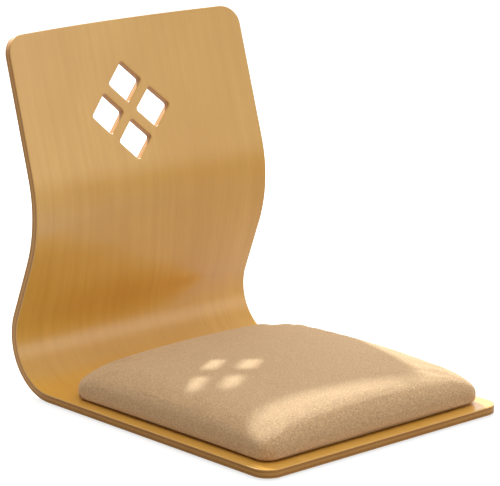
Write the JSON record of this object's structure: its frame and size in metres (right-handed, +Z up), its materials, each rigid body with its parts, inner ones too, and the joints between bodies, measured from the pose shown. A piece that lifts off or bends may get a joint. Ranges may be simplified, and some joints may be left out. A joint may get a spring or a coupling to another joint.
{
  "type": "legless floor chair",
  "caption": "Legless floor chair: one curved plywood shell as seat and dished back with diamond cut-outs, and a lift-off fabric seat pad.",
  "frame": {"origin": "on the floor, at the middle of the chair's bounding box", "axes": "+Z up from the floor, +Y from the sitter's knees to the back, +X to the right of the picture's front view"},
  "size_m": [0.4076, 0.5324, 0.4691],
  "materials": {
    "face_veneer": "satin lacquer over a fine straight grain",
    "core_veneer_cross": "sanded end grain, lacquered",
    "core_veneer_long": "sanded edge grain, lacquered",
    "felt": "matte felt",
    "hook_tape": "matte nylon hooks",
    "loop_tape": "matte nylon loops",
    "pad_board": "bare board",
    "foam": "matte open-cell foam",
    "wadding": "matte fibre",
    "cover_cloth": "matte plain weave",
    "base_cloth": "matte non-woven cloth",
    "staple_wire": "bright wire"
  },
  "bodies": {
    "chair_shell": {"sitting_face_veneer": "face_veneer", "core_ply_1_cross": "core_veneer_cross", "core_ply_2_long": "core_veneer_long", "core_ply_3_cross": "core_veneer_cross", "outer_face_veneer": "face_veneer", "floor_pad_front_left": "felt", "floor_pad_front_right": "felt", "floor_pad_rear_left": "felt", "floor_pad_rear_right": "felt", "hook_tape_front_left": "hook_tape", "hook_tape_front_right": "hook_tape", "hook_tape_rear_left": "hook_tape", "hook_tape_rear_right": "hook_tape"},
    "seat_pad": {"cushion_cover": "cover_cloth", "wadding_layer": "wadding", "foam_block": "foam", "pad_board": "pad_board", "base_cloth": "base_cloth", "cover_staples": "staple_wire", "loop_tape_front_left": "loop_tape", "loop_tape_front_right": "loop_tape", "loop_tape_rear_left": "loop_tape", "loop_tape_rear_right": "loop_tape"}
  },
  "joints": [
    {"name": "cushion_lift", "type": "slide", "parent": "chair_shell", "child": "seat_pad", "axis": [0, 0, 1], "range_m": [0, 0.46]}
  ]
}
